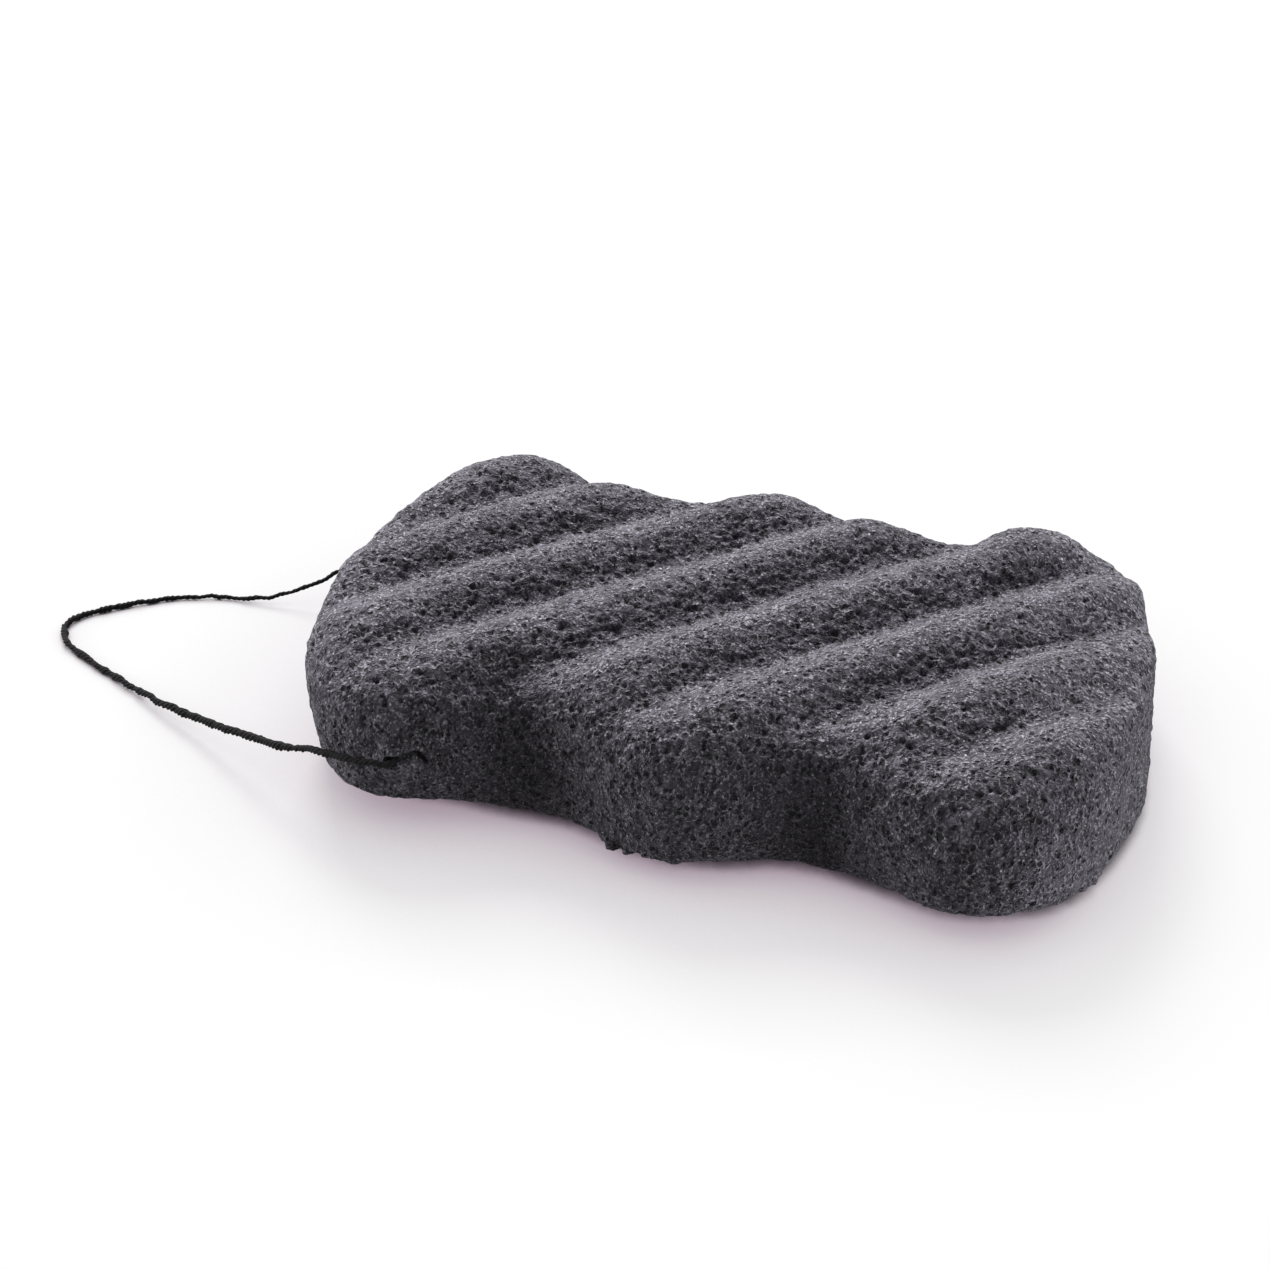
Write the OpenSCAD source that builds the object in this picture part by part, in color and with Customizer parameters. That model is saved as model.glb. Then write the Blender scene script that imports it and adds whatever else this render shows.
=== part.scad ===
// Konjac body sponge with a hanging loop, in millimetres.
// The sponge lies flat on z = 0, with its length along X and its width along Y.
// The origin is at the middle of the face it rests on.

/* [Sponge body] */
// Length over the two rounded ends
body_l = 125; // [112:1:140]
// Width over opposite lobes
body_w = 76; // [66:1:88]
// Height of the ridge crests above the face it rests on
body_h = 28; // [24:0.5:34]
// Height of the widest line of the sides
rim_h = 8; // [6:0.5:11]
// Distance from the middle lobe to an end lobe
lobe_pitch = 42.4; // [39:0.2:46]
// Depth of the valleys between lobes
lobe_depth = 6; // [3:0.25:8]
// How far the underside is pressed flat
base_flat = 0.5; // [0.3:0.1:1]

/* [Diagonal ridges] */
// Distance between neighbouring grooves
ridge_pitch = 15.2; // [12:0.2:19]
// Depth of a groove below the crests beside it
ridge_h = 3.4; // [1.6:0.2:4.4]
// Roundness of the grooves, where 1 is a sharp V and 2 a wave
groove_round = 1.5; // [1:0.1:2]
// How soon the ridges fade towards the rim, where 1 is at the rim itself
ridge_fade = 3; // [1:0.5:5]
// Angle between the ridges and the length of the sponge
ridge_angle = 45; // [42:1:58]

/* [Squareness of the curves, 2 is an ellipse] */
// Ends, seen from above
end_square = 2.6; // [2:0.1:4]
// Shoulders from the top down to the sides
shoulder_square = 4.8; // [3:0.1:7]
// Shoulders from the top down to the ends
end_shoulder_square = 8; // [4:0.5:10]
// Underside up to the sides
base_square = 3.6; // [2.5:0.1:6]

/* [Cord] */
// Thickness of the twisted cord
cord_d = 1.2; // [0.8:0.1:1.6]
// Gap between the cord and the wall of its hole
cord_gap = 0.4; // [0.2:0.05:0.6]
// Distance of the hole from the end of the sponge
hole_from_end = 22.5; // [18:0.5:28]
// Height of the hole above the face it rests on
hole_h = 14; // [11:0.5:16]
// Width of the puckered dimple round each mouth of the hole
dimple_d = 6; // [4:0.25:8]
// Depth of that dimple
dimple_depth = 1.8; // [1:0.1:2.5]

/* [Knot] */
// Turns of cord in the knot
knot_turns = 3; // [2:1:5]
// Length of each cut tail
knot_tail_l = 4; // [2:0.5:7]
// Angle at which the tails stand off the cord
knot_tail_angle = 24; // [18:1:34]

/* [Hidden] */

// Fineness of the surfaces
ridge_steps = 8;
tip_steps = 5;
top_steps = 18;
base_steps = 10;
search_steps = 40;
round_fn = 48;

// One length of overrun for every cut
cut_over = 1;

// Places that follow from the driving dimensions
hole_x = -(body_l / 2 - hole_from_end);
hole_d = cord_d + 2 * cord_gap;
mouth_y = half_width(hole_x);
cord_seat_in = 2.1;
cord_seat_y = mouth_y - cord_seat_in;

// The knot's turns lie side by side, each a cord thick, round the cord itself
turn_r = cord_d;
knot_d = 2 * turn_r + cord_d;
knot_l = knot_turns * cord_d;
tail_reach = knot_tail_l * cos(knot_tail_angle);
tail_rise = knot_tail_l * sin(knot_tail_angle);
pocket_d = 2 * (turn_r + tail_rise + cord_d / 2 + cord_gap);
pocket_l = knot_l + 2 * (tail_reach + cord_d / 2 + cord_gap);

// Free cord, from the front hole to the back one: it turns to the left out of the hole, sinks to
// the table, lies there round the end of the loop and climbs to the back hole
cord_route = concat([[hole_x, -cord_seat_y, hole_h]], [
    [-40, -36.9, 14], [-40.35, -38, 14], [-41.1, -38.9, 14], [-42.1, -39.4, 14],
    [-43.4, -39.5, 13.9], [-45.2, -39.2, 13.6], [-48, -38.4, 13.1], [-51, -37.2, 12.2],
    [-55, -35.2, 10.7], [-60, -32.7, 8.5], [-66, -29.6, 6.5], [-72.5, -26.3, 4.6],
    [-79, -23.1, 3], [-85.5, -20, 1.9], [-92, -16.7, 1.1], [-98, -13.4, 0.7],
    [-103.5, -10.6, 0.65], [-108.2, -8.2, 0.65], [-111.6, -5.6, 0.65], [-113.2, -2.2, 0.65],
    [-112.8, 1.2, 0.65], [-110.4, 4.2, 0.65], [-106.8, 7.1, 0.65], [-102.5, 10.1, 0.65],
    [-98, 12.6, 0.65], [-93, 14.1, 0.65], [-87.5, 14.9, 0.9], [-82, 16.1, 2.1],
    [-76.5, 18.3, 4.4], [-71, 21.4, 7], [-65.8, 25.6, 9.2], [-60.8, 30.8, 11],
    [-55.5, 36.2, 12.6], [-50.5, 39.9, 13.5], [-46.2, 41.4, 13.9], [-43, 40.9, 14],
    [-41, 39.3, 14], [-40.1, 37.5, 14]
], [[hole_x, cord_seat_y, hole_h]]);
cord_sides = 8;

// A superellipse's height over t, which runs from -1 to 1
function bulge(t, square) = pow(max(1 - pow(abs(t), square), 0), 1 / square);

// The outline seen from above: three lobes and a rounded end
function lobe_wave(x) = lobe_depth * pow(sin(180 * x / lobe_pitch), 2);
function half_width(x) =
    abs(x) < lobe_pitch
        ? body_w / 2 - lobe_wave(x)
        : body_w / 2 * bulge((abs(x) - lobe_pitch) / (body_l / 2 - lobe_pitch), end_square);

// A point of that outline: turn 0 to 1 runs along the back, 1 to 2 along the front
function outline(turn) =
    let (back = turn <= 1, run = back ? 2 * turn - 1 : 3 - 2 * turn, x = body_l / 2 * sin(90 * run))
    [x, (back ? 1 : -1) * half_width(x)];

// Where a point lies across the ridges, and along them
function across(p) = -p[0] * sin(ridge_angle) + p[1] * cos(ridge_angle);
function along(p) = p[0] * cos(ridge_angle) + p[1] * sin(ridge_angle);
function from_ridges(s, t) =
    [t * cos(ridge_angle) - s * sin(ridge_angle), t * sin(ridge_angle) + s * cos(ridge_angle)];

// The corner of the outline that lies farthest across the ridges
function corner_turn(low, high, left) =
    left == 0 ? (low + high) / 2
    : let (third = (high - low) / 3)
      across(outline(low + third)) < across(outline(high - third))
          ? corner_turn(low + third, high, left - 1)
          : corner_turn(low, high - third, left - 1);
first_turn = corner_turn(0, 0.4, search_steps);
reach = across(outline(first_turn));

// Where the line at s across the ridges leaves the outline
function exit_turn(s, low, high, left) =
    left == 0 ? (low + high) / 2
    : let (mid = (low + high) / 2)
      across(outline(mid)) > s
          ? exit_turn(s, mid, high, left - 1)
          : exit_turn(s, low, mid, left - 1);
function exit_at(s) = along(outline(exit_turn(s, first_turn, first_turn + 1, search_steps)));

// How full the pad is at a point: 1 over the middle, 0 on the rim
function fullness(p, side_square, end_sq) =
    let (w = half_width(p[0]))
    bulge(p[0] * 2 / body_l, end_sq) * (w > 0 ? bulge(p[1] / w, side_square) : 0);
function ridge_drop(s) = ridge_h * (1 - pow(abs(sin(180 * s / ridge_pitch)), groove_round));
function top_z(p) =
    let (f = fullness(p, shoulder_square, end_shoulder_square))
    rim_h + (body_h - rim_h) * f - ridge_drop(across(p)) * pow(f, ridge_fade);
function base_z(p) = rim_h - (rim_h + base_flat) * fullness(p, base_square, end_shoulder_square);

// Places along a section, crowded towards the rim, as shares from -1 to 1
function spread_shares(steps, square) =
    [for (i = [0:steps]) let (a = 180 * i / steps - 90) sign(a) * pow(abs(sin(a)), 2 / square)];
top_shares = spread_shares(top_steps, shoulder_square);
base_shares = spread_shares(base_steps, base_square);

// Sections stand across the ridges, so that every crest and groove is an edge of the surface
last_step = floor((reach - ridge_pitch / ridge_steps) / (ridge_pitch / ridge_steps));
last_s = last_step * ridge_pitch / ridge_steps;
tip_shares = [for (i = [1:tip_steps]) 1 - pow(1 - i / (tip_steps + 1), 2)];
tip_run = [for (share = tip_shares) last_s + (reach - last_s) * share];
stations = concat(
    [for (i = [tip_steps - 1:-1:0]) -tip_run[i]],
    [for (i = [-last_step:last_step]) i * ridge_pitch / ridge_steps],
    tip_run);

function section(s) =
    let (t1 = exit_at(s), t0 = -exit_at(-s), mid = (t0 + t1) / 2, half = (t1 - t0) / 2)
    concat(
        [for (share = top_shares)
            let (p = from_ridges(s, mid + half * share))
            [p[0], p[1], abs(share) == 1 ? rim_h : top_z(p)]],
        [for (i = [base_steps - 1:-1:1])
            let (p = from_ridges(s, mid + half * base_shares[i])) [p[0], p[1], base_z(p)]]);

// A skin over rings that all have as many points, closed by a face at each end
module skin(rings) {
    n = len(rings[0]);
    last = len(rings) - 1;
    polyhedron(
        points = [for (ring = rings) each ring],
        faces = concat(
            [[for (j = [0:n - 1]) j]],
            [for (i = [0:last - 1]) for (j = [0:n - 1])
                let (k = (j + 1) % n) [i * n + j, (i + 1) * n + j, i * n + k]],
            [for (i = [0:last - 1]) for (j = [0:n - 1])
                let (k = (j + 1) % n) [i * n + k, (i + 1) * n + j, (i + 1) * n + k]],
            [[for (j = [n - 1:-1:0]) last * n + j]]),
        convexity = 10);
}

// A straight round bar or hole along Y, centred on the cord's line
module along_hole(d, y0, y1) {
    translate([hole_x, y0, hole_h]) rotate([-90, 0, 0]) cylinder(d = d, h = y1 - y0, $fn = round_fn);
}

module dimple(side) {
    translate([hole_x, side * (mouth_y + cut_over), hole_h])
        rotate([side * 90, 0, 0])
            cylinder(
                d1 = dimple_d + (dimple_d - hole_d) * cut_over / dimple_depth,
                d2 = hole_d,
                h = dimple_depth + cut_over,
                $fn = round_fn);
}

// Moulded konjac foam: six lobes, diagonal ridges, a flat underside and the hole for the cord
module sponge_body() {
    color("#4e4c52")
        difference() {
            skin([for (s = stations) section(s)]);
            translate([-body_l, -body_w, -base_flat - cut_over])
                cube([2 * body_l, 2 * body_w, base_flat + cut_over]);
            along_hole(hole_d, -body_w / 2 - cut_over, body_w / 2 + cut_over);
            along_hole(pocket_d, -pocket_l / 2, pocket_l / 2);
            for (side = [-1, 1]) dimple(side);
        }
}

// The free cord: a tube swept along a smooth curve through the points of its route
function route_point(i) =
    i < 0 ? 2 * cord_route[0] - cord_route[1]
    : i >= len(cord_route) ? 2 * cord_route[i - 1] - cord_route[i - 2]
    : cord_route[i];
function curve_at(i, t) =
    let (a = route_point(i - 1), b = route_point(i), c = route_point(i + 1), d = route_point(i + 2))
    (2 * b + (c - a) * t + (2 * a - 5 * b + 4 * c - d) * t * t
        + (3 * b - a - 3 * c + d) * t * t * t) / 2;
cord_curve = concat(
    [for (i = [0:len(cord_route) - 2]) for (t = [0, 0.5]) curve_at(i, t)],
    [cord_route[len(cord_route) - 1]]);
function heading(i) =
    i == 0 ? [0, -1, 0]
    : i == len(cord_curve) - 1 ? [0, -1, 0]
    : cord_curve[i + 1] - cord_curve[i - 1];
function unit(v) = v / norm(v);
function cord_ring(i) =
    let (ahead = unit(heading(i)), side = unit(cross(ahead, [0, 0, 1])), up = cross(side, ahead))
    [for (k = [0:cord_sides - 1])
        let (a = 360 * (k + 0.5) / cord_sides)
        cord_curve[i] + cord_d / 2 * (cos(a) * side + sin(a) * up)];

module hanging_loop() {
    color("#1d1d1b") skin([for (i = [0:len(cord_curve) - 1]) cord_ring(i)]);
}

// The same cord inside the sponge, up to each face of the knot
module threaded_cord() {
    color("#1d1d1b") {
        along_hole(cord_d, -cord_seat_y, -knot_l / 2);
        along_hole(cord_d, knot_l / 2, cord_seat_y);
    }
}

// The knot that closes the loop: turns wound side by side, with two cut tails
module cord_knot() {
    color("#1d1d1b") {
        along_hole(2 * turn_r, -knot_l / 2, knot_l / 2);
        for (i = [0:knot_turns - 1])
            translate([hole_x, (i + 0.5) * cord_d - knot_l / 2, hole_h])
                rotate([90, 0, 0])
                    rotate_extrude($fn = round_fn)
                        translate([turn_r, 0]) circle(d = cord_d, $fn = round_fn / 2);
        for (side = [-1, 1])
            translate([hole_x, side * (knot_l / 2 - cord_d / 2), hole_h + side * turn_r])
                rotate([side * (knot_tail_angle - 90), 0, 0])
                    cylinder(d = cord_d, h = knot_tail_l, $fn = round_fn / 2);
    }
}

sponge_body();
hanging_loop();
threaded_cord();
cord_knot();
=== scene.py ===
import itertools
import math

import bpy
import numpy as np
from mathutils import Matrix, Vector


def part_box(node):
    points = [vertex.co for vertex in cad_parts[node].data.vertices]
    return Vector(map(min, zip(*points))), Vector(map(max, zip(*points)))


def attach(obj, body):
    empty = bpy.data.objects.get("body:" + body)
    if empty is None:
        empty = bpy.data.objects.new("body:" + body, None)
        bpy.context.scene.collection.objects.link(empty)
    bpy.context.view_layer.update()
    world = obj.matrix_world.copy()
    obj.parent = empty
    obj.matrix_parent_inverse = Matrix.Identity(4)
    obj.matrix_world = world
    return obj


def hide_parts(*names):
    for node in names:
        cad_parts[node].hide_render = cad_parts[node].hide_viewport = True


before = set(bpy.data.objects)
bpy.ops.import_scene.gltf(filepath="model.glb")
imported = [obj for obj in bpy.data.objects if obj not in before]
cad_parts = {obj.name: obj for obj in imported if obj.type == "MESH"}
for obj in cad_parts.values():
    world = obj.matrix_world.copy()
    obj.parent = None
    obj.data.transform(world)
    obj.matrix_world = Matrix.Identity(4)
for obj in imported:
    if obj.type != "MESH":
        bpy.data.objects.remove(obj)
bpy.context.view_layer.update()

# Everything is in metres; a size written in millimetres is a number times MM
MM = 0.001

# Camera, at the photograph's viewing angle: tilt and turn in degrees, lens and sensor in millimetres
CAMERA_PLACE = (0.0921, -0.3433, 0.2523)
CAMERA_TILT = 33.19
CAMERA_TURN = 17.47
CAMERA_LENS = 79.65
CAMERA_SENSOR = 36
CAMERA_NEAREST = 10 * MM

# Cord: where it leaves the foam, its thickness, and its route from the front hole to the back one
cord_low, cord_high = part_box("threaded_cord")
HOLE_X = (cord_low.x + cord_high.x) / 2
HOLE_Z = (cord_low.z + cord_high.z) / 2
SEAT_Y = cord_high.y
CORD_D = cord_high.z - cord_low.z
MOUTH_Y = 37.8 * MM
CORD_ROUTE = [
    (-0.040, -0.0369, 0.014), (-0.04035, -0.038, 0.014), (-0.0411, -0.0389, 0.014),
    (-0.0421, -0.0394, 0.014), (-0.0434, -0.0395, 0.0139), (-0.0452, -0.0392, 0.0136),
    (-0.048, -0.0384, 0.0131), (-0.051, -0.0372, 0.0122), (-0.055, -0.0352, 0.0107),
    (-0.060, -0.0327, 0.0085), (-0.066, -0.0296, 0.0065), (-0.0725, -0.0263, 0.0046),
    (-0.079, -0.0231, 0.003), (-0.0855, -0.020, 0.0019), (-0.092, -0.0167, 0.0011),
    (-0.098, -0.0134, 0.0007), (-0.1035, -0.0106, 0.00065), (-0.1082, -0.0082, 0.00065),
    (-0.1116, -0.0056, 0.00065), (-0.1132, -0.0022, 0.00065), (-0.1128, 0.0012, 0.00065),
    (-0.1104, 0.0042, 0.00065), (-0.1068, 0.0071, 0.00065), (-0.1025, 0.0101, 0.00065),
    (-0.098, 0.0126, 0.00065), (-0.093, 0.0141, 0.00065), (-0.0875, 0.0149, 0.0009),
    (-0.082, 0.0161, 0.0021), (-0.0765, 0.0183, 0.0044), (-0.071, 0.0214, 0.007),
    (-0.0658, 0.0256, 0.0085), (-0.0608, 0.0308, 0.0099), (-0.0555, 0.0362, 0.0114),
    (-0.0505, 0.0399, 0.0135), (-0.0462, 0.0414, 0.0139), (-0.043, 0.0409, 0.014),
    (-0.041, 0.0393, 0.014), (-0.0401, 0.0375, 0.014),
]

# Cotton cord: three plies twisted together
PLIES = 3
PLY_SHARE = 0.55
TWIST_PITCH = 2.6 * MM
CORD_STEP = 0.22 * MM
CORD_SIDES = 24

# How unevenly it is spun: how much it varies, and along what length
TWIST_DRIFT = (0.5, 2.2 * MM)
THICKNESS_DRIFT = (0.09, 1.6 * MM)
SLUBS = (0.09, 0.5 * MM)
STRAY = (0.13 * MM, 2 * MM)
STRAY_FREE_FROM = 4 * MM
FIBRE_WIDTH = 0.16 * MM
FIBRE_DEPTH = 0.08 * MM
LOOP_SEED = 7
THREADED_SEED = 8
KNOT_SEED = 9

# How full the loop's twine is along its run, as shares of the run and of its thickness
LOOP_FULLNESS = [
    (0, 0.85), (0.04, 0.95), (0.1, 1.05), (0.3, 1.12), (0.36, 0.95), (0.43, 0.9), (0.48, 0.98),
    (0.53, 0.88), (0.6, 0.68), (0.7, 0.64), (0.8, 0.68), (0.93, 0.56), (1, 0.9),
]

# Sponge, as it is moulded: the squarer a number, the fuller and flatter the curve it belongs to
sponge_low, sponge_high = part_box("sponge_body")
LENGTH = sponge_high.x - sponge_low.x
WIDTH = sponge_high.y - sponge_low.y
HEIGHT = 28 * MM
RIM_HEIGHT = 8 * MM
LOBE_PITCH = 42.4 * MM
LOBE_DEPTH = 6 * MM
BASE_FLAT = 0.5 * MM
RIDGE_PITCH = 15.2 * MM
RIDGE_HEIGHT = 3.4 * MM
RIDGE_ANGLE = math.radians(45)
GROOVE_ROUND = 1.4
FRONT_FADE = 5.5
BACK_FADE = 3
END_SQUARE = 2.6
FRONT_SHOULDER = 3.0
BACK_SHOULDER = 5.4
END_SHOULDER = 8
BASE_SQUARE = 2.9
BASE_CURL = 0.1
TOP_CROWDING = 4

# Where this sponge bulges or sinks against its plain form: place, width and push, in millimetres
SWELLS = [
    ((-61, -21, 20), 7, 1.0), ((-62, -8, 20), 8, 0.3), ((-60, -1, 23), 8, 0.4), ((-59, 17, 23), 9, -1.8),
    ((-49, 30, 26), 8, 0.4), ((-35, 34, 23), 5, -0.55), ((-5, 31, 26), 9, 0.8), ((4, 34, 24), 7, -1.1),
    ((12, 28, 26), 6, 0.9), ((36, 30, 26), 6, 2.0), ((44, 33, 25), 5, 0.9), ((48, 34, 24), 5, -1.1),
    ((58.5, 23, 21), 8, -1.6), ((61, 9, 23), 8, -0.3), ((62, 0, 3.5), 8, 1.0), ((59, -22, 3), 6, -0.8),
    ((33, -34, 4), 7, -0.6), ((1, -36, 3), 7, -0.5), ((-53, -28, 3), 9, -2.2), ((-37, -33, 3), 9, -1.6),
    ((-25, -30, 23.5), 7, -1.4), ((52, -33, 3), 8, -1.3),
    ((-40.2, -38, 13.4), 2.6, 2.2), ((-40, 38, 13.4), 3, 1.6),
]

# Tunnel for the cord, which the foam closes on near its mouths, the pocket round the knot, and how the
# foam draws in where the cord enters
TUNNEL_D = 2 * MM
SNUG_LENGTH = 3 * MM
POCKET_D = 7.65 * MM
POCKET_LENGTH = 12.9 * MM
BORE_SIDES = 32
SMOOTH_ROUND_CORD = 1.5 * MM
PUCKER = [
    (-41.4, -37.8, 14.0), (-40.4, -37.7, 14.3), (-39, -37.4, 14.75), (-38, -37.1, 15.0),
    (-37.1, -36.9, 14.5), (-36.4, -36.8, 13.6),
]
PUCKER_WIDTH = 0.65 * MM
PUCKER_DEPTH = 1.6 * MM

# Torn crumbs along the lower rim: place, width and height, in millimetres
CRUMBS = [
    ((-9, -36, 2.5), 4, 1.1), ((-9.5, -35.5, 3), 2.5, 0.9), ((-6.5, -36.5, 2), 3, 1.6),
    ((-5, -37, 1.5), 4, 1.4), ((0, -37, 1.5), 5, 0.9), ((22, -32, 3), 3, 0.5), ((59.5, -22.5, 3), 3, 0.9),
]
CRUMB_GRAIN = 0.8 * MM
CRUMB_SEED = 16

# Knot inside the foam
KNOT_TURNS = 2.5
KNOT_LENGTH = 3.6 * MM
TAIL_LENGTH = 4 * MM
TAIL_ANGLE = math.radians(24)

# Foam's mesh: the width of its sections, then of its even faces
SKIN_STEP = 0.8 * MM
FOAM_STEP = 0.36 * MM

# Foam's lumps, from the broadest to the finest: height and width in millimetres, and seed
LUMPS = [(0.30, 13, 7), (0.18, 4.5, 8), (0.17, 1.7, 9), (0.18, 0.9, 12)]

# Foam's round pits and wider craters: spacing, least and greatest radius, share of places, seed
PITS = (1.0 * MM, (0.3 * MM, 0.55 * MM), 0.7, 10)
CRATERS = (3.2 * MM, (0.4 * MM, 0.65 * MM), 0.45, 11)
PIT_DEPTH = 0.35 * MM
CRATER_DEPTH = 0.5 * MM

# Foam's colour and grain, in real sizes
CELL_WIDTH = 1.0 * MM
GRAIN_WIDTH = 0.45 * MM
CLUMP_WIDTH = 1.8 * MM
PATCH_WIDTH = 5 * MM
GLINT_WIDTH = 0.62 * MM
WIDE_PORE_WIDTH = 2.8 * MM
GRAIN_DEPTH = 0.5 * MM

# Foam's bake map: its side and margin, how far round an end its long sides run, how far up it the base
# and each side lie, and how far along it the bores lie
MAP_SIDE = 1.8 * LENGTH
MAP_MARGIN = 0.005
END_RUN = 0.4
BASE_ROW = WIDTH + 2 * MM
SIDE_ROW = WIDTH + 3 * MM
BACK_ROWS = 2
FRONT_ROWS = 2.4
SIDE_COLUMN = 0.75 * LENGTH
BORE_COLUMN = LENGTH + 17 * MM

# Paper: its reach from the middle, how much of its white is its own, how near to a thing it shades and
# darkens, and where along X the shade is filled in at the right end, and the share that is left there
PAPER_REACH = 2.5
PAPER_GLOW = 0.84
SHADE_REACH = 38 * MM
CONTACT_REACH = 3 * MM
RIGHT_END = (45 * MM, 85 * MM)
RIGHT_END_SHADE = 0.35

# Light from the room, all round, and the lamps: place, width and height in metres, power in watts
ROOM_LIGHT = 0.045
LAMPS = {
    "tall_back_softbox": ((-0.56, 1.22, 1.18), 0.7, 0.7, 53),
    "left_softbox": ((-1.45, -0.22, 0.24), 0.6, 0.36, 13),
    "near_right_card": ((0.63, -0.06, 0.055), 0.3, 0.1, 2.3),
}


def bulge(t, square):
    """A superellipse's height over t, which runs from -1 to 1."""
    return np.maximum(1 - np.abs(t) ** square, 0) ** (1 / square)


def half_width(x):
    """Half the sponge's width at x: three lobes and a rounded end."""
    reach = np.abs(x)
    wave = LOBE_DEPTH * np.sin(np.pi * reach / LOBE_PITCH) ** 2
    end = np.clip((reach - LOBE_PITCH) / (LENGTH / 2 - LOBE_PITCH), 0, 1)
    return np.where(reach < LOBE_PITCH, WIDTH / 2 - wave, WIDTH / 2 * bulge(end, END_SQUARE))


def outline(turn):
    """Points of the outline seen from above: 0 to 1 runs along the back, 1 to 2 along the front."""
    run = np.where(turn <= 1, 2 * turn - 1, 3 - 2 * turn)
    x = LENGTH / 2 * np.sin(np.pi / 2 * run)
    return x, np.where(turn <= 1, 1, -1) * half_width(x)


def across(x, y):
    """Where a place lies across the ridges."""
    return -x * math.sin(RIDGE_ANGLE) + y * math.cos(RIDGE_ANGLE)


def along(x, y):
    """Where a place lies along the ridges."""
    return x * math.cos(RIDGE_ANGLE) + y * math.sin(RIDGE_ANGLE)


def fullness(x, y, side_square, end_square):
    """How full the pad is at a place: 1 over the middle, 0 on the rim."""
    side = np.clip(y / np.maximum(half_width(x), MM / 1000), -1, 1)
    return bulge(2 * x / LENGTH, end_square) * bulge(side, side_square)


def top_height(x, y):
    """The ridged top's height at a place."""
    shoulder = np.where(y < 0, FRONT_SHOULDER, BACK_SHOULDER)
    full = fullness(x, y, shoulder, END_SHOULDER)
    groove = 1 - np.abs(np.sin(np.pi * across(x, y) / RIDGE_PITCH)) ** GROOVE_ROUND
    fade = full ** np.where(y < 0, FRONT_FADE, BACK_FADE)
    return RIM_HEIGHT + (HEIGHT - RIM_HEIGHT) * full - RIDGE_HEIGHT * groove * fade


def base_height(x, y):
    """The underside's height at a place: flat on the table, and curled up to the rim."""
    square = BASE_SQUARE * (1 + BASE_CURL * 2 * x / LENGTH)
    return np.maximum(RIM_HEIGHT - (RIM_HEIGHT + BASE_FLAT) * fullness(x, y, square, END_SHOULDER), 0)


def section_shares(steps, square):
    """Places along a section from -1 to 1, crowded towards the rim."""
    a = np.linspace(-np.pi / 2, np.pi / 2, steps + 1)
    return np.sign(a) * np.abs(np.sin(a)) ** (2 / square)


def sponge_rings(step, top_steps=100, base_steps=50, tip_steps=6):
    """Sections of the sponge that stand across its ridges, as rings of points."""
    # The outline from its point that lies furthest across the ridges, half of the way round
    back_end = np.linspace(0, 0.4, 20001)
    first = back_end[np.argmax(across(*outline(back_end)))]
    turn = np.linspace(first, first + 1, 100001)
    edge_s, edge_t = across(*outline(turn)), along(*outline(turn))
    reach = edge_s.max()
    stations = np.arange(-int(reach / step), int(reach / step) + 1) * step
    tips = reach - (reach - stations[-1]) * np.linspace(1, 0, tip_steps + 1)[1:-1] ** 2
    stations = np.concatenate([-tips[::-1], stations, tips])
    # Where each section starts and ends: the sponge is the same when it is turned half round
    order = np.argsort(edge_s)
    end = np.interp(stations, edge_s[order], edge_t[order])
    start = -np.interp(-stations, edge_s[order], edge_t[order])
    middle, half = (start + end)[:, None] / 2, (end - start)[:, None] / 2

    def side(shares, height, on_rim):
        t, s = middle + half * shares, stations[:, None]
        x = t * math.cos(RIDGE_ANGLE) - s * math.sin(RIDGE_ANGLE)
        y = t * math.sin(RIDGE_ANGLE) + s * math.cos(RIDGE_ANGLE)
        z = height(x, y)
        if on_rim:
            z[:, [0, -1]] = RIM_HEIGHT
        return np.stack([x, y, z], -1)

    top = side(section_shares(top_steps, TOP_CROWDING), top_height, True)
    base = side(section_shares(base_steps, BASE_SQUARE), base_height, False)
    return np.concatenate([top, base[:, -2:0:-1]], 1)


def skin_faces(rings, around):
    """Quads between neighbouring rings, and a face over each end."""
    i, j = np.meshgrid(np.arange(rings - 1), np.arange(around), indexing="ij")
    k = (j + 1) % around
    quads = np.stack([i, i + 1, i + 1, i], -1) * around + np.stack([j, j, k, k], -1)
    last = (rings - 1) * around
    ends = [list(range(around)), list(range(last + around - 1, last - 1, -1))]
    return quads.reshape(-1, 4).tolist() + ends


def make_piece(name, points, faces):
    """A smooth mesh object from points and faces."""
    mesh = bpy.data.meshes.new(name)
    mesh.from_pydata(np.asarray(points).reshape(-1, 3).tolist(), [], faces)
    mesh.update()
    mesh.shade_smooth()
    piece = bpy.data.objects.new(name, mesh)
    bpy.context.scene.collection.objects.link(piece)
    return piece


def apply_modifiers(piece):
    """Gives the piece the mesh that its modifiers make."""
    shown = piece.evaluated_get(bpy.context.evaluated_depsgraph_get())
    mesh = bpy.data.meshes.new_from_object(shown)
    piece.modifiers.clear()
    piece.data = mesh


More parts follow.
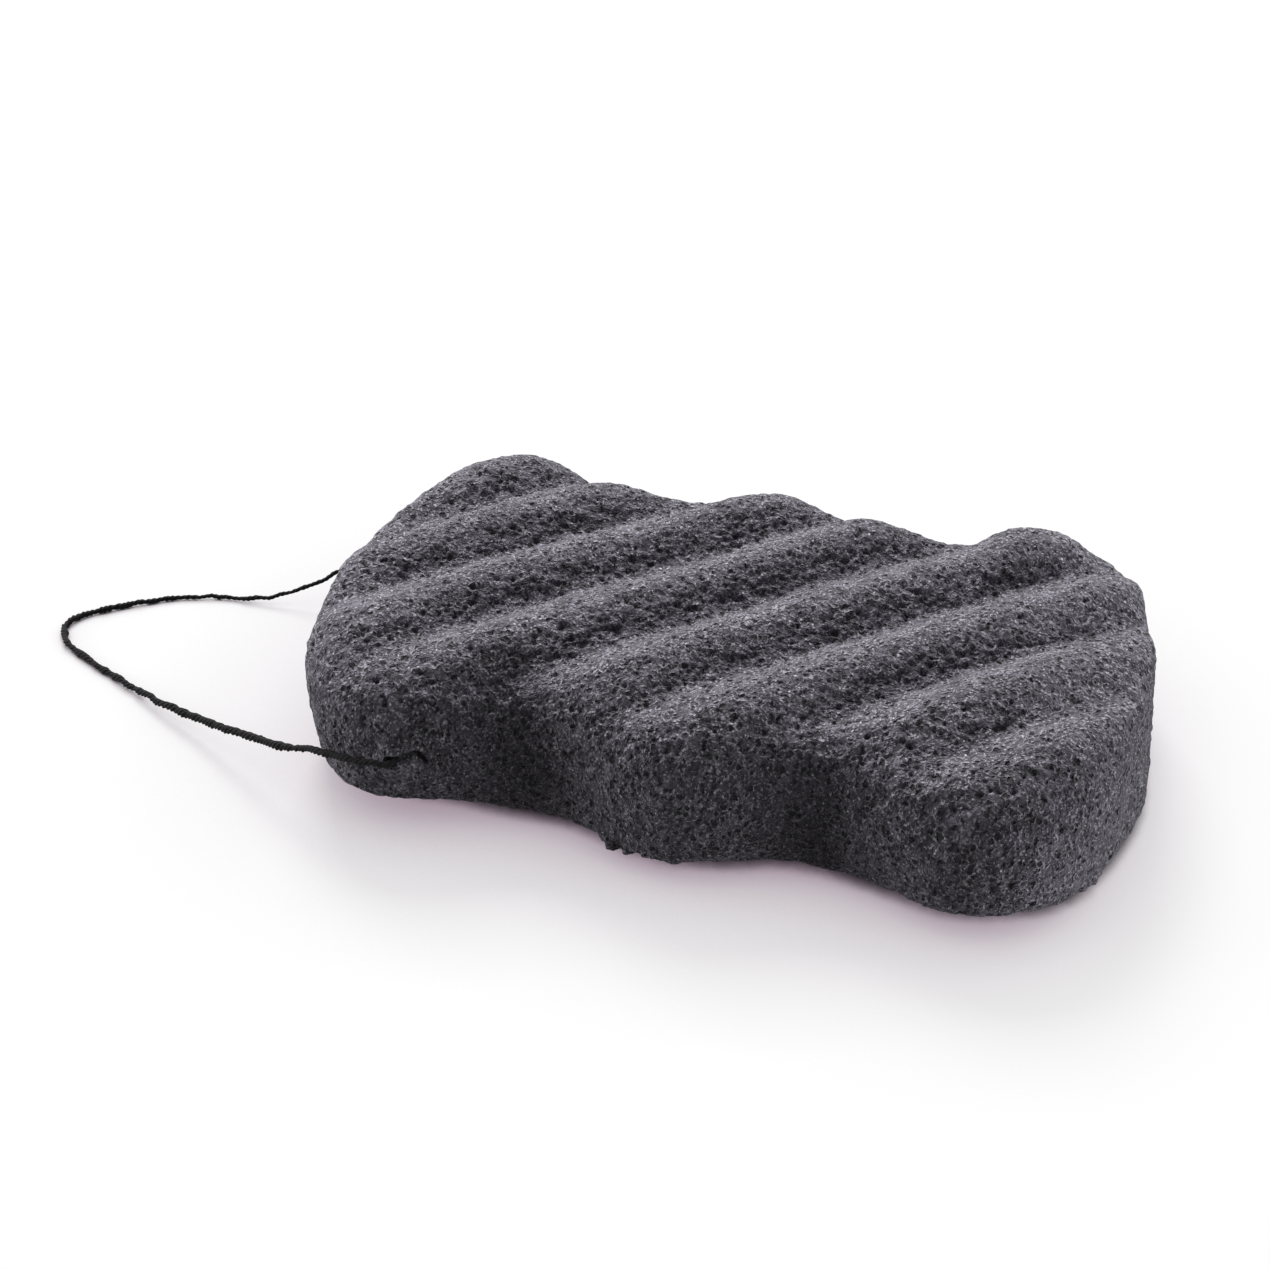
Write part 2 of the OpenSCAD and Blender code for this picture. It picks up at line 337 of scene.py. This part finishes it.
def smooth_curve(points, step, fineness=40):
    """Points a step apart on a smooth curve through the given ones."""
    points = np.asarray(points, float)
    padded = np.vstack([2 * points[0] - points[1], points, 2 * points[-1] - points[-2]])
    t = np.linspace(0, 1, fineness, endpoint=False)[:, None]
    runs = []
    for a, b, c, d in zip(padded, padded[1:], padded[2:], padded[3:]):
        bend = (2 * a - 5 * b + 4 * c - d) * t ** 2 + (3 * b - a - 3 * c + d) * t ** 3
        runs.append((2 * b + (c - a) * t + bend) / 2)
    line = np.vstack(runs + [points[-1:]])
    run = np.concatenate([[0], np.cumsum(np.linalg.norm(np.diff(line, axis=0), axis=1))])
    even = np.linspace(0, run[-1], max(int(run[-1] / step), 2) + 1)
    return np.stack([np.interp(even, run, line[:, k]) for k in range(3)], -1)


def carried_sides(line):
    """A side and an up direction at each point of a line, without twist."""
    ahead = np.gradient(line, axis=0)
    ahead /= np.linalg.norm(ahead, axis=1)[:, None]
    side = np.cross(ahead[0], (0, 0, 1))
    sides = []
    for direction in ahead:
        side = side - direction * (side @ direction)
        side = side / np.linalg.norm(side)
        sides.append(side)
    sides = np.array(sides)
    return sides, np.cross(sides, ahead)


def wandering(run, most, spacing, rng):
    """Random values of about this size that change gently along a run."""
    marks = np.arange(0, run[-1] + 2 * spacing, spacing)
    return most * np.interp(run, marks, rng.normal(0, 1, len(marks)))


def twisted_cord(name, lines, seed, fullness_along=((0, 1), (1, 1))):
    """Cord laid up from three plies, along one or more lines, uneven as spun cotton is."""
    rng = np.random.default_rng(seed)
    points, faces, count = [], [], 0
    ply_place = CORD_D / 2 * (1 - PLY_SHARE)
    ply_radius = CORD_D / 2 * PLY_SHARE
    for line in lines:
        sides, ups = carried_sides(line)
        run = np.arange(len(line)) * np.linalg.norm(line[1] - line[0])
        full = np.interp(run / run[-1], *zip(*fullness_along))
        turn = 2 * np.pi * run / TWIST_PITCH + wandering(run, *TWIST_DRIFT, rng)
        thick = full * (1 + wandering(run, *THICKNESS_DRIFT, rng) + wandering(run, *SLUBS, rng))
        stray = np.stack([wandering(run, *STRAY, rng), wandering(run, *STRAY, rng)])
        stray *= np.clip(np.minimum(run, run[-1] - run) / STRAY_FREE_FROM, 0, 1)
        line = line + stray[0][:, None] * sides + np.abs(stray[1])[:, None] * ups
        # Thinner twine lies as low as full twine
        line[:, 2] -= CORD_D / 2 * (1 - full)
        # The outer side of three round plies that lie against each other
        a = np.arange(CORD_SIDES) * 2 * np.pi / CORD_SIDES
        on_ply = np.mod(a[None] - turn[:, None], 2 * np.pi / PLIES) - np.pi / PLIES
        radius = ply_place * np.cos(on_ply) + np.sqrt(ply_radius ** 2 - (ply_place * np.sin(on_ply)) ** 2)
        radius = (radius * thick[:, None])[..., None]
        around = np.cos(a)[None, :, None] * sides[:, None] + np.sin(a)[None, :, None] * ups[:, None]
        rings = line[:, None] + radius * around
        points.append(rings.reshape(-1, 3))
        faces += [[i + count for i in face] for face in skin_faces(len(line), CORD_SIDES)]
        count += rings.shape[0] * CORD_SIDES
    return make_piece(name, np.vstack(points), faces)


def distance_to_line(places, line):
    """How far each place is from a line through the given points."""
    gap = np.full(len(places), np.inf)
    for start, end in zip(line, line[1:]):
        step = end - start
        share = np.clip((places - start) @ step / (step @ step), 0, 1)
        gap = np.minimum(gap, np.linalg.norm(places - start - share[:, None] * step, axis=1))
    return gap


def lattice_noise(places, grain, seed):
    """Smooth random values from -1 to 1 at these places, whose lumps are about a grain wide."""
    cell = (places - places.min(0)) / grain
    whole = np.floor(cell).astype(int)
    part = cell - whole
    part = part * part * (3 - 2 * part)
    values = np.random.default_rng(seed).uniform(-1, 1, whole.max(0) + 2)
    total = np.zeros(len(places))
    for corner in itertools.product((0, 1), repeat=3):
        weight = np.prod(np.where(corner, part, 1 - part), axis=1)
        total += weight * values[tuple((whole + corner).T)]
    return total


def pores(places, spacing, radii, share, seed):
    """How deep each place lies in a pore, from 0 outside to 1 at its middle."""
    rng = np.random.default_rng(seed)
    cell = (places - places.min(0)) / spacing + 1
    whole = np.floor(cell).astype(int)
    size = whole.max(0) + 2
    middle = rng.random((*size, 3))
    radius = rng.uniform(*radii, size) / spacing * (rng.random(size) < share)
    deep = np.zeros(len(places))
    for step in itertools.product((-1, 0, 1), repeat=3):
        near = tuple((whole + step).T)
        gap = np.linalg.norm(whole + step + middle[near] - cell, axis=1)
        deep = np.maximum(deep, 1 - (gap / np.maximum(radius[near], 1e-6)) ** 2)
    return deep


def linear(hex_colour):
    """An sRGB hex colour in Blender's linear values."""
    parts = [int(hex_colour[i:i + 2], 16) / 255 for i in (1, 3, 5)]
    return [c / 12.92 if c <= 0.04045 else ((c + 0.055) / 1.055) ** 2.4 for c in parts] + [1]


def add_node(tree, kind, settings, inputs):
    """A node with its settings, and each input set to a value or linked from an output."""
    node = tree.nodes.new(kind)
    for name, value in settings.items():
        setattr(node, name, value)
    for name, value in inputs.items():
        if isinstance(value, bpy.types.NodeSocket):
            tree.links.new(value, node.inputs[name])
        else:
            node.inputs[name].default_value = value
    return node


def new_material(name):
    """An empty material and its node tree."""
    material = bpy.data.materials.new(name)
    material.use_nodes = True
    material.node_tree.nodes.clear()
    return material, material.node_tree


def between(tree, value, low, high, low_gives, high_gives):
    """A value eased from one number to another, as the given one goes from low to high."""
    return add_node(tree, "ShaderNodeMapRange", {"interpolation_type": "SMOOTHSTEP"}, {
        "Value": value, "From Min": low, "From Max": high, "To Min": low_gives, "To Max": high_gives,
    }).outputs["Result"]


def blended(tree, share, under, over):
    """Two colours mixed, with this share of the second."""
    return add_node(tree, "ShaderNodeMix", {"data_type": "RGBA"}, {
        0: share, 6: under, 7: over,
    }).outputs[2]


def maths(tree, operation, *values):
    return add_node(tree, "ShaderNodeMath", {"operation": operation}, dict(enumerate(values))).outputs[0]


def cloudy(tree, place, width, detail):
    """Smooth noise whose clouds are about this wide."""
    return add_node(tree, "ShaderNodeTexNoise", {}, {
        "Vector": place, "Scale": 1 / width, "Detail": detail,
    }).outputs


def cells(tree, place, width):
    """Cells of about this width: how far a place is from its cell's middle, and the cell's colour."""
    return add_node(tree, "ShaderNodeTexVoronoi", {}, {"Vector": place, "Scale": 1 / width}).outputs


def konjac_foam():
    """Konjac foam coloured with charcoal, moulded and dried: matt, with painted shade in its open pores and
    hollows, and painted pale glints, which are highlights, on the thin walls between them."""
    material, tree = new_material("konjac_foam")
    place = add_node(tree, "ShaderNodeTexCoord", {}, {}).outputs["Object"]
    shift = add_node(tree, "ShaderNodeVectorMath", {"operation": "MULTIPLY_ADD"}, {
        0: cloudy(tree, place, CELL_WIDTH, 2)["Color"], 1: (CELL_WIDTH,) * 3, 2: place,
    }).outputs[0]
    grain = cloudy(tree, place, GRAIN_WIDTH, 3)["Fac"]
    clump = cloudy(tree, place, CLUMP_WIDTH, 2)["Fac"]
    patch = cloudy(tree, place, PATCH_WIDTH, 2)["Fac"]
    edge = add_node(tree, "ShaderNodeTexVoronoi", {"feature": "DISTANCE_TO_EDGE"}, {
        "Vector": shift, "Scale": 1 / CELL_WIDTH,
    }).outputs["Distance"]

    def open_pores(width, least, most):
        """Round pores whose radius is between two shares of a cell's width: how deep a place lies in one,
        how far into its middle, which is painted dark as the shade inside the pore, and how near its rim,
        which is painted pale as a highlight."""
        cell = cells(tree, shift, width)
        size = add_node(tree, "ShaderNodeSeparateColor", {}, {"Color": cell["Color"]}).outputs[0]
        reach = maths(tree, "MULTIPLY_ADD", size, most - least, least)
        inward = maths(tree, "SUBTRACT", reach, cell["Distance"])
        rim = maths(tree, "MULTIPLY", between(tree, inward, -0.16, -0.04, 0, 1),
                    between(tree, inward, 0, 0.08, 1, 0))
        return between(tree, inward, 0, 0.26, 0, 1), between(tree, inward, 0.08, 0.20, 0, 1), rim

    pit, dark, rim = open_pores(CELL_WIDTH, 0.0, 0.60)
    wide_pit, wide_pore_shade, wide_rim_glint = open_pores(WIDE_PORE_WIDTH, -0.12, 0.31)
    wall = between(tree, edge, 0.02, 0.12, 1, 0)
    # Painted highlights: pale strands along the walls, specks, and the rims of pores, where thin walls would
    # catch the light
    glint = cells(tree, shift, GLINT_WIDTH)
    bright = add_node(tree, "ShaderNodeSeparateColor", {}, {"Color": glint["Color"]}).outputs[1]
    speck_glint = maths(tree, "MULTIPLY", between(tree, glint["Distance"], 0.12, 0.36, 1, 0),
                  between(tree, bright, 0.55, 0.95, 0, 1))
    strand_glint = maths(tree, "MULTIPLY", wall, between(tree, grain, 0.52, 0.62, 0, 0.6))
    rim_glint = maths(tree, "MULTIPLY", maths(tree, "MAXIMUM", rim, wide_rim_glint),
                between(tree, grain, 0.46, 0.62, 0, 0.55))
    painted_glints = maths(tree, "MAXIMUM", maths(tree, "MAXIMUM", strand_glint, speck_glint), rim_glint)
    painted_hollow_shade = add_node(tree, "ShaderNodeAttribute", {"attribute_name": "painted_hollow_shade"}, {}).outputs["Fac"]

    wall_colour = blended(tree, between(tree, patch, 0.35, 0.65, 0, 1), linear("#5f5b64"), linear("#75717b"))
    clumped = blended(tree, between(tree, clump, 0.32, 0.6, 0.7, 0), wall_colour, linear("#3a373d"))
    grained = blended(tree, between(tree, grain, 0.35, 0.58, 0.45, 0), clumped, linear("#2a292d"))
    glinted = blended(tree, painted_glints, grained, linear("#d2cfd9"))
    # Painted shade: the pores' middles are darkened, the wide ones darkest
    pore_shaded = blended(tree, maths(tree, "MULTIPLY", dark, 0.9), glinted, linear("#131214"))
    wide_pore_shaded = blended(tree, wide_pore_shade, pore_shaded, linear("#0c0b0e"))
    # Painted shade in the mesh's hollows
    colour = blended(tree, maths(tree, "MULTIPLY", painted_hollow_shade, 0.7), wide_pore_shaded, linear("#161518"))

    height = maths(tree, "MULTIPLY_ADD", pit, -1.0, maths(tree, "MULTIPLY", grain, 0.5))
    height = maths(tree, "MULTIPLY_ADD", wide_pit, -1.8, height)
    height = maths(tree, "MULTIPLY_ADD", wall, 0.25, height)
    height = maths(tree, "MULTIPLY_ADD", clump, 1.4, height)
    bump = add_node(tree, "ShaderNodeBump", {}, {
        "Strength": 1.0, "Distance": GRAIN_DEPTH, "Height": height,
    }).outputs["Normal"]
    shader = add_node(tree, "ShaderNodeBsdfPrincipled", {}, {
        "Base Color": colour, "Roughness": 0.75, "Specular IOR Level": 0.2, "Normal": bump,
        "Sheen Weight": 0.35, "Sheen Roughness": 0.4, "Sheen Tint": linear("#c9c8d0"),
    }).outputs["BSDF"]
    add_node(tree, "ShaderNodeOutputMaterial", {}, {"Surface": shader})
    return material


def black_cotton():
    """Cotton twine, dyed black and twisted: dull, nearly black, with a faint bloom of fibre ends."""
    material, tree = new_material("black_cotton_twine")
    place = add_node(tree, "ShaderNodeTexCoord", {}, {}).outputs["Object"]
    fibre = cloudy(tree, place, FIBRE_WIDTH, 3)["Fac"]
    colour = blended(tree, between(tree, fibre, 0.35, 0.7, 0, 1), linear("#0b0b0c"), linear("#191819"))
    bump = add_node(tree, "ShaderNodeBump", {}, {
        "Strength": 0.8, "Distance": FIBRE_DEPTH, "Height": fibre,
    }).outputs["Normal"]
    shader = add_node(tree, "ShaderNodeBsdfPrincipled", {}, {
        "Base Color": colour, "Roughness": 0.9, "Specular IOR Level": 0.25, "Normal": bump,
        "Sheen Weight": 0.1, "Sheen Roughness": 0.5, "Sheen Tint": linear("#8f8c8c"),
    }).outputs["BSDF"]
    add_node(tree, "ShaderNodeOutputMaterial", {}, {"Surface": shader})
    return material


def seen_ray(tree):
    """1 on what the camera sees, also by reflection or through glass, and 0 for light on other things."""
    ray = add_node(tree, "ShaderNodeLightPath", {}, {}).outputs
    direct = maths(tree, "MAXIMUM", ray["Is Camera Ray"], ray["Is Glossy Ray"])
    return maths(tree, "MAXIMUM", direct, ray["Is Transmission Ray"])


def matt_paper():
    """Matt white backdrop paper under bright lamps: white to the camera, with a soft pale shadow that
    closes to dark where something stands on it."""
    material, tree = new_material("matt_paper")
    lit = add_node(tree, "ShaderNodeBsdfDiffuse", {}, {"Color": linear("#6a6a6a")}).outputs["BSDF"]
    shade = add_node(tree, "ShaderNodeAmbientOcclusion", {"samples": 8}, {"Distance": SHADE_REACH})
    shadow = maths(tree, "SUBTRACT", 1, maths(tree, "POWER", shade.outputs["AO"], 0.9))
    place = add_node(tree, "ShaderNodeNewGeometry", {}, {}).outputs["Position"]
    to_right = add_node(tree, "ShaderNodeSeparateXYZ", {}, {"Vector": place}).outputs["X"]
    kept = between(tree, to_right, *RIGHT_END, 1, RIGHT_END_SHADE)
    openness = maths(tree, "SUBTRACT", 1, maths(tree, "MULTIPLY", shadow, kept))
    contact = add_node(tree, "ShaderNodeAmbientOcclusion", {"samples": 8}, {"Distance": CONTACT_REACH})
    white = maths(tree, "MULTIPLY", seen_ray(tree), PAPER_GLOW)
    glow = add_node(tree, "ShaderNodeEmission", {}, {
        "Color": blended(tree, openness, linear("#9a7f95"), linear("#ffffff")),
        "Strength": maths(tree, "MULTIPLY", white, between(tree, contact.outputs["AO"], 0.2, 0.75, 0, 1)),
    }).outputs["Emission"]
    both = add_node(tree, "ShaderNodeAddShader", {}, {0: lit, 1: glow}).outputs[0]
    add_node(tree, "ShaderNodeOutputMaterial", {}, {"Surface": both})
    return material


def make_camera():
    """The camera, at the photograph's viewing angle."""
    camera = bpy.data.objects.new("camera", bpy.data.cameras.new("camera"))
    bpy.context.scene.collection.objects.link(camera)
    camera.location = CAMERA_PLACE
    camera.rotation_euler = (math.radians(90 - CAMERA_TILT), 0, math.radians(CAMERA_TURN))
    camera.data.lens = CAMERA_LENS
    camera.data.sensor_width = CAMERA_SENSOR
    camera.data.clip_start = CAMERA_NEAREST
    bpy.context.scene.camera = camera


def make_cord(cotton):
    """The free cord, from seat to seat."""
    route = [(HOLE_X, -SEAT_Y, HOLE_Z)] + CORD_ROUTE + [(HOLE_X, SEAT_Y, HOLE_Z)]
    line = smooth_curve(route, CORD_STEP)
    loop = twisted_cord("hanging_loop_cord", [line], LOOP_SEED, LOOP_FULLNESS)
    loop.data.materials.append(cotton)
    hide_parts("hanging_loop")
    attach(loop, "root")


def make_threaded_cord(cotton):
    """The stretches inside the foam, up to each face of the knot."""
    face = KNOT_LENGTH / 2
    lines = []
    for start, end in ((-SEAT_Y, -face), (face, SEAT_Y)):
        lines.append(smooth_curve([(HOLE_X, start, HOLE_Z), (HOLE_X, end, HOLE_Z)], CORD_STEP))
    piece = twisted_cord("threaded_cord_twist", lines, THREADED_SEED)
    piece.data.materials.append(cotton)
    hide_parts("threaded_cord")
    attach(piece, "root")


def make_knot(cotton):
    """The barrel knot: the cord wound round itself, with its two cut ends standing off."""
    run = np.linspace(-0.5, 0.5, 61)[:, None]
    turn = 2 * np.pi * KNOT_TURNS * run
    turns = CORD_D * np.sin(turn) * (0, 0, 1) + CORD_D * np.cos(turn) * (1, 0, 0)
    turns = turns + (KNOT_LENGTH - CORD_D) * run * (0, 1, 0)
    tail = TAIL_LENGTH * np.array([0, math.cos(TAIL_ANGLE), math.sin(TAIL_ANGLE)])
    wound = np.vstack([turns[0] - tail, turns, turns[-1] + tail]) + (HOLE_X, 0, HOLE_Z)
    core = [(HOLE_X, -KNOT_LENGTH / 2, HOLE_Z), (HOLE_X, KNOT_LENGTH / 2, HOLE_Z)]
    lines = [smooth_curve(wound, CORD_STEP), smooth_curve(core, CORD_STEP)]
    piece = twisted_cord("cord_knot_turns", lines, KNOT_SEED)
    piece.data.materials.append(cotton)
    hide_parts("cord_knot")
    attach(piece, "root")


def bore(piece, radius, length):
    """Cuts a round passage of this length across the width, in line with the cord."""
    ring = 2 * np.pi * np.arange(BORE_SIDES) / BORE_SIDES
    flat = np.stack([np.cos(ring) * radius + HOLE_X, 0 * ring, np.sin(ring) * radius + HOLE_Z], -1)
    rings = np.stack([flat - (0, length / 2, 0), flat + (0, length / 2, 0)])
    cutter = make_piece("cutter", rings, skin_faces(2, BORE_SIDES))
    cut = piece.modifiers.new("cut", "BOOLEAN")
    cut.operation = "DIFFERENCE"
    cut.solver = "EXACT"
    cut.object = cutter
    apply_modifiers(piece)
    bpy.data.objects.remove(cutter)


def mesh_values(mesh):
    """The mesh's points and their normals."""
    count = len(mesh.vertices)
    places, normals = np.zeros(count * 3, np.float32), np.zeros(count * 3, np.float32)
    mesh.vertices.foreach_get("co", places)
    mesh.vertex_normals.foreach_get("vector", normals)
    return places.reshape(-1, 3).astype(float), normals.reshape(-1, 3).astype(float)


def reach_from(places, place, width):
    """How far each place is from one, given in millimetres, in shares of a width."""
    return np.linalg.norm(places - np.array(place) * MM, axis=1) / (width * MM)


def swelling(places):
    """How far the foam stands out from its plain form at each place."""
    lift = np.zeros(len(places))
    for place, width, push in SWELLS:
        lift += push * MM * np.exp(-reach_from(places, place, width) ** 2)
    return lift


def drawn_in(places):
    """How deep each place lies in the pucker beside the front hole, from 0 to 1."""
    gap = distance_to_line(places, np.array(PUCKER) * MM) / PUCKER_WIDTH
    return np.clip(1 - gap ** 2, 0, 1)


def crumbled(places):
    """How far torn crumbs stand out along the lower rim."""
    ragged = 0.9 + 0.7 * lattice_noise(places, CRUMB_GRAIN, CRUMB_SEED)
    lift = np.zeros(len(places))
    for place, width, push in CRUMBS:
        lift += push * MM * ragged * np.clip(1 - reach_from(places, place, width) ** 2, 0, 1)
    return lift


def lay_flat(mesh, places, normals, bored):
    """Gives the foam its bake map, all to one scale: the top, the base, both long sides and the bores."""
    corners = np.zeros(len(mesh.loops), np.int32)
    mesh.loops.foreach_get("vertex_index", corners)
    counts = np.zeros(len(mesh.polygons), np.int32)
    mesh.polygons.foreach_get("loop_total", counts)
    face = np.repeat(np.arange(len(counts)), counts)

    def of_face(values):
        """The mean of the values over each corner's face."""
        return (np.bincount(face, values[corners]) / counts)[face]

    x, y, z = places[corners].T
    low, high = of_face(normals[:, 2]) < -0.5, of_face(normals[:, 2]) > 0.5
    back, bore = of_face(places[:, 1]) > 0, of_face(bored) > 0.5
    around_end = np.arctan2(np.maximum(np.abs(x) - LOBE_PITCH, 0), np.abs(y)) * WIDTH * END_RUN
    run = np.clip(x, -LOBE_PITCH, LOBE_PITCH) + np.sign(x) * around_end
    flat = np.stack([x + LENGTH / 2, y + WIDTH / 2], -1)
    base = flat + (0, BASE_ROW)
    side = np.stack([run + SIDE_COLUMN, z + np.where(back, BACK_ROWS, FRONT_ROWS) * SIDE_ROW], -1)
    turn = np.arctan2(z - HOLE_Z, x - HOLE_X)
    middle = np.arctan2(of_face(places[:, 2]) - HOLE_Z, of_face(places[:, 0]) - HOLE_X)
    turn = middle + np.mod(turn - middle + np.pi, 2 * np.pi) - np.pi
    wall = np.stack([BORE_COLUMN + turn * POCKET_D / 2, y + WIDTH / 2], -1)
    spots = np.where(low[:, None], base, side)
    spots = np.where(high[:, None], flat, spots)
    spots = np.where(bore[:, None], wall, spots) / MAP_SIDE + MAP_MARGIN
    mesh.uv_layers.new(name="OFBake").data.foreach_set("uv", spots.astype(np.float32).ravel())


def make_sponge(foam):
    """The foam body, bored for the cord, meshed evenly, then pushed to its real, porous surface."""
    rings = sponge_rings(SKIN_STEP)
    piece = make_piece("konjac_foam_body", rings, skin_faces(rings.shape[0], rings.shape[1]))
    bore(piece, TUNNEL_D / 2, 2 * (MOUTH_Y - SNUG_LENGTH))
    bore(piece, POCKET_D / 2, POCKET_LENGTH)
    remesh = piece.modifiers.new("even", "REMESH")
    remesh.mode = "VOXEL"
    remesh.voxel_size = FOAM_STEP
    apply_modifiers(piece)
    mesh = piece.data

    plain, normals = mesh_values(mesh)
    places = plain.copy()
    off_cord = np.hypot(places[:, 0] - HOLE_X, places[:, 2] - HOLE_Z)
    inside = np.abs(places[:, 1]) < MOUTH_Y - SMOOTH_ROUND_CORD
    in_tunnel = inside & (off_cord < SMOOTH_ROUND_CORD)
    in_pocket = (np.abs(places[:, 1]) < POCKET_LENGTH / 2 + MM) & (off_cord < POCKET_D / 2 + MM)
    outer = np.where(in_tunnel | in_pocket, 0, 1)
    crease = drawn_in(places) * outer
    places += normals * (swelling(places) * outer - PUCKER_DEPTH * crease)[:, None]

    lumps = sum(height * MM * lattice_noise(places, width * MM, seed) for height, width, seed in LUMPS)
    pits, craters = pores(places, *PITS), pores(places, *CRATERS)
    lift = (lumps + crumbled(places) - PIT_DEPTH * pits - CRATER_DEPTH * craters) * outer
    places += normals * lift[:, None]
    places[:, 2] = np.maximum(places[:, 2], 0)
    mesh.vertices.foreach_set("co", places.astype(np.float32).ravel())
    lay_flat(mesh, plain, normals, 1 - outer)
    # Painted shade: how much darker the foam is painted in its pits, its craters and the crease beside the
    # front hole, where little light gets in
    hollow_shade = np.clip(0.4 * pits + 1.2 * craters + 1.6 * crease, 0, 1)
    mesh.attributes.new("painted_hollow_shade", "FLOAT", "POINT").data.foreach_set("value", hollow_shade.astype(np.float32))
    mesh.update()
    mesh.shade_smooth()
    mesh.materials.clear()
    mesh.materials.append(foam)
    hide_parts("sponge_body")
    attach(piece, "root")


def make_floor(paper):
    """A sheet of paper that the sponge stands on."""
    corners = [(x * PAPER_REACH, y * PAPER_REACH, 0) for x, y in ((-1, -1), (1, -1), (1, 1), (-1, 1))]
    floor = make_piece("floor", corners, [(0, 1, 2, 3)])
    floor.data.materials.append(paper)


def make_lamp(name, place, width, height, power):
    """A softbox that faces the sponge."""
    light = bpy.data.lights.new(name, "AREA")
    light.shape = "RECTANGLE"
    light.size = width
    light.size_y = height
    light.energy = power
    lamp = bpy.data.objects.new(name, light)
    bpy.context.scene.collection.objects.link(lamp)
    lamp.location = place
    lamp.rotation_euler = (-Vector(place)).to_track_quat("-Z", "Y").to_euler()


def make_light():
    """A pale room and three lamps."""
    world = bpy.data.worlds.new("studio")
    world.use_nodes = True
    tree = world.node_tree
    tree.nodes.clear()
    strength = maths(tree, "MULTIPLY_ADD", seen_ray(tree), 1 - ROOM_LIGHT, ROOM_LIGHT)
    soft = add_node(tree, "ShaderNodeBackground", {}, {"Color": linear("#fbfaff"), "Strength": strength})
    add_node(tree, "ShaderNodeOutputWorld", {}, {"Surface": soft.outputs[0]})
    bpy.context.scene.world = world
    for name, lamp in LAMPS.items():
        make_lamp(name, *lamp)


make_camera()
cotton = black_cotton()
make_cord(cotton)
make_threaded_cord(cotton)
make_knot(cotton)
make_sponge(konjac_foam())
make_floor(matt_paper())
make_light()

bpy.context.scene.view_settings.view_transform = "Standard"
